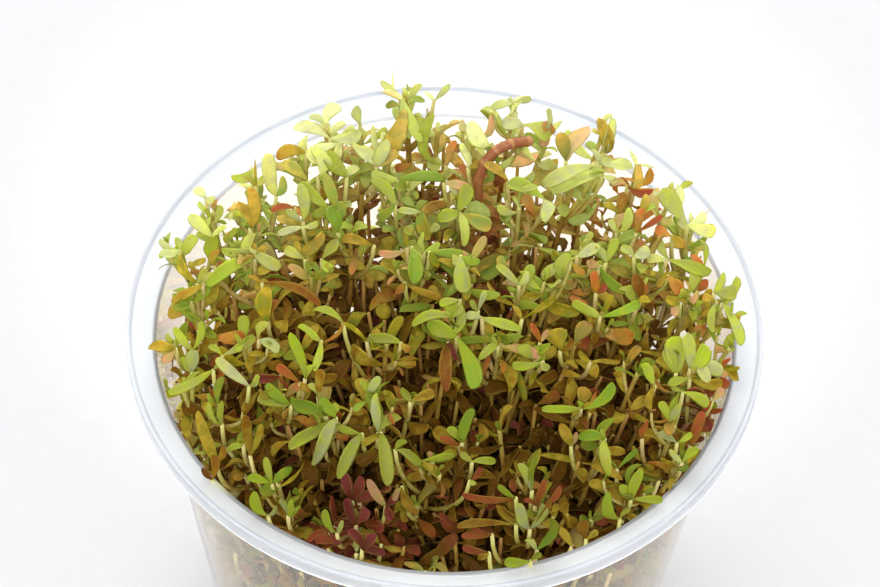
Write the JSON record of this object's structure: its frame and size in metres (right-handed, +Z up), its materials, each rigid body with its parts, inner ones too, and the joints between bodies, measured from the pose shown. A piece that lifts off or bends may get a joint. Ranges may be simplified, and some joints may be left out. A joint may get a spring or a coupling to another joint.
{
  "type": "tissue culture aquarium plant in a cup",
  "caption": "Clear tapered culture cup with a wide rim, packed with slender upright water plants with small opposite leaves rooted in a disc of nutrient gel.",
  "frame": {"origin": "centre of the cup's flat underside", "axes": "+Z up along the cup's axis, -Y towards the picture's camera"},
  "size_m": [0.09, 0.09, 0.0795],
  "materials": {
    "clear_plastic": "gloss",
    "nutrient_gel": "satin",
    "lime_shoot": "satin",
    "olive_shoot": "satin",
    "red_shoot": "satin"
  },
  "bodies": {
    "root": {"cup": "clear_plastic", "culture_gel": "nutrient_gel", "shoot_01": "lime_shoot", "shoot_02": "olive_shoot", "shoot_03": "lime_shoot", "shoot_04": "lime_shoot", "shoot_05": "lime_shoot", "shoot_06": "lime_shoot", "shoot_07": "lime_shoot", "shoot_08": "lime_shoot", "shoot_09": "lime_shoot", "shoot_10": "red_shoot", "shoot_11": "olive_shoot", "shoot_12": "red_shoot", "shoot_13": "lime_shoot", "shoot_14": "lime_shoot", "shoot_15": "lime_shoot", "shoot_16": "lime_shoot", "shoot_17": "olive_shoot", "shoot_18": "lime_shoot", "shoot_19": "lime_shoot", "shoot_20": "lime_shoot", "shoot_21": "lime_shoot", "shoot_22": "olive_shoot", "shoot_23": "lime_shoot", "shoot_24": "lime_shoot", "shoot_25": "olive_shoot", "shoot_26": "olive_shoot", "shoot_27": "lime_shoot", "shoot_28": "lime_shoot", "shoot_29": "lime_shoot", "shoot_30": "olive_shoot", "shoot_31": "lime_shoot", "shoot_32": "lime_shoot", "shoot_33": "lime_shoot", "shoot_34": "lime_shoot", "shoot_35": "olive_shoot", "shoot_36": "olive_shoot", "shoot_37": "lime_shoot", "shoot_38": "lime_shoot", "shoot_39": "lime_shoot", "shoot_40": "lime_shoot", "shoot_41": "lime_shoot", "shoot_42": "olive_shoot", "shoot_43": "lime_shoot", "shoot_44": "lime_shoot", "shoot_45": "lime_shoot", "shoot_46": "olive_shoot", "shoot_47": "olive_shoot", "shoot_48": "lime_shoot", "shoot_49": "lime_shoot", "shoot_50": "red_shoot", "shoot_51": "olive_shoot", "shoot_52": "lime_shoot", "shoot_53": "red_shoot", "shoot_54": "lime_shoot", "shoot_55": "olive_shoot", "shoot_56": "lime_shoot", "shoot_57": "lime_shoot"}
  },
  "joints": []
}
